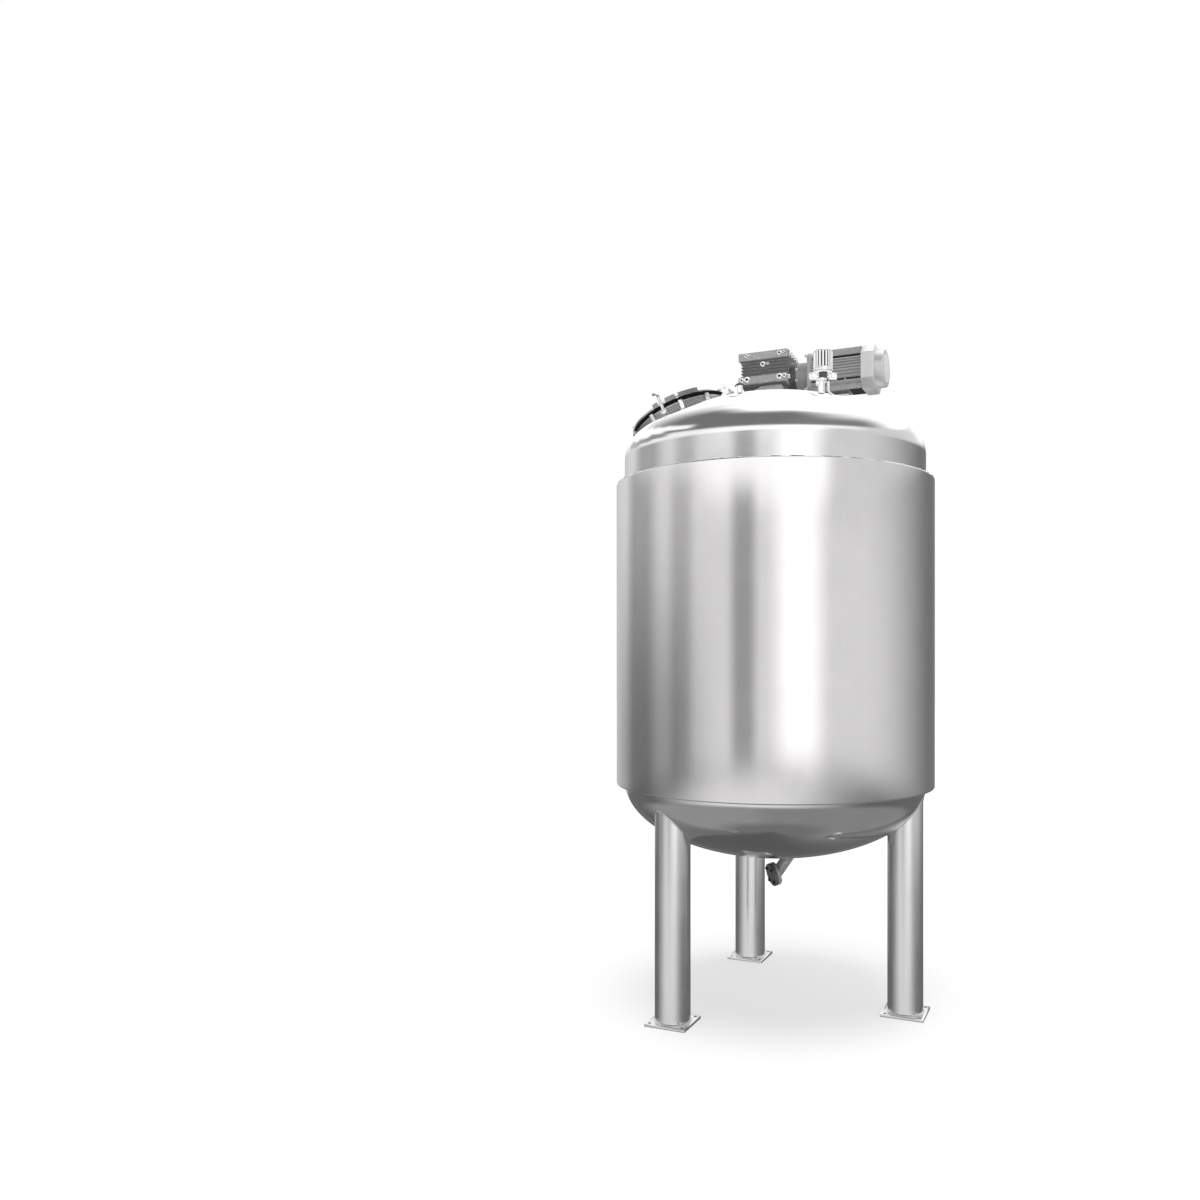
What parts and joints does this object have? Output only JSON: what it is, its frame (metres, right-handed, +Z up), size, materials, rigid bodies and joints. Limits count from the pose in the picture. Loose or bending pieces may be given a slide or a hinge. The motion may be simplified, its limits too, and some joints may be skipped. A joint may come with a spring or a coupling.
{
  "type": "jacketed stainless steel mixing tank",
  "caption": "Jacketed stainless steel mixing tank on pipe legs, with dished heads, a hinged manway cover, a top gear drive and motor, a breather, a vent and a bottom outlet.",
  "frame": {"origin": "on the floor, on the vessel's axis", "axes": "+Z up along the vessel's axis; +X along the drive from the gearbox to the motor's fan end, with the manway on the -X side"},
  "size_m": [1.5, 1.5, 3.065],
  "materials": {
    "vessel_steel": "satin brushed stainless steel",
    "jacket_steel": "satin brushed stainless sheet",
    "leg_steel": "brushed stainless pipe",
    "seal_rubber": "black moulded rubber",
    "fitting_steel": "turned and polished stainless steel",
    "drive_casting": "dark grey cast housing",
    "motor_casting": "grey painted ribbed aluminium",
    "cowl_paint": "light grey painted sheet",
    "agitator_steel": "polished stainless steel"
  },
  "bodies": {
    "tank": {"vessel_shell": "vessel_steel", "top_head": "vessel_steel", "bottom_head": "vessel_steel", "manway_neck": "vessel_steel", "jacket_wall": "jacket_steel", "jacket_top_ring": "jacket_steel", "jacket_bottom_ring": "jacket_steel", "leg_1": "leg_steel", "leg_2": "leg_steel", "leg_3": "leg_steel", "base_plate_1": "leg_steel", "base_plate_2": "leg_steel", "base_plate_3": "leg_steel", "manway_seal": "seal_rubber", "hinge_lug_near": "fitting_steel", "hinge_lug_far": "fitting_steel", "hinge_pin": "fitting_steel", "breather_pipe": "fitting_steel", "breather_clamp": "fitting_steel", "clamp_lug": "fitting_steel", "breather_body": "fitting_steel", "balance_tube": "fitting_steel", "vent_nozzle": "fitting_steel", "outlet_pipe": "fitting_steel", "outlet_flange": "fitting_steel", "drive_stool": "drive_casting", "gearbox_bottom_flange": "drive_casting", "gearbox_housing": "drive_casting", "gearbox_top_flange": "drive_casting", "input_flange": "drive_casting", "vent_wing_cap": "drive_casting", "outlet_blank": "drive_casting", "motor_adapter": "motor_casting", "motor_shield": "motor_casting", "motor_body": "motor_casting", "motor_foot": "motor_casting", "motor_cowl": "cowl_paint", "motor_end_cap": "cowl_paint", "agitator_shaft": "agitator_steel", "impeller_lower": "agitator_steel", "impeller_upper": "agitator_steel"},
    "cover": {"manway_cover": "vessel_steel", "hinge_arm_near": "fitting_steel", "hinge_arm_far": "fitting_steel", "cover_handle": "fitting_steel"}
  },
  "joints": [
    {"name": "manway_hinge", "type": "hinge", "parent": "tank", "child": "cover", "pos_m": [-0.22837, 0, 2.92655], "axis": [0, 1, 0], "range_deg": [0, 115]}
  ]
}
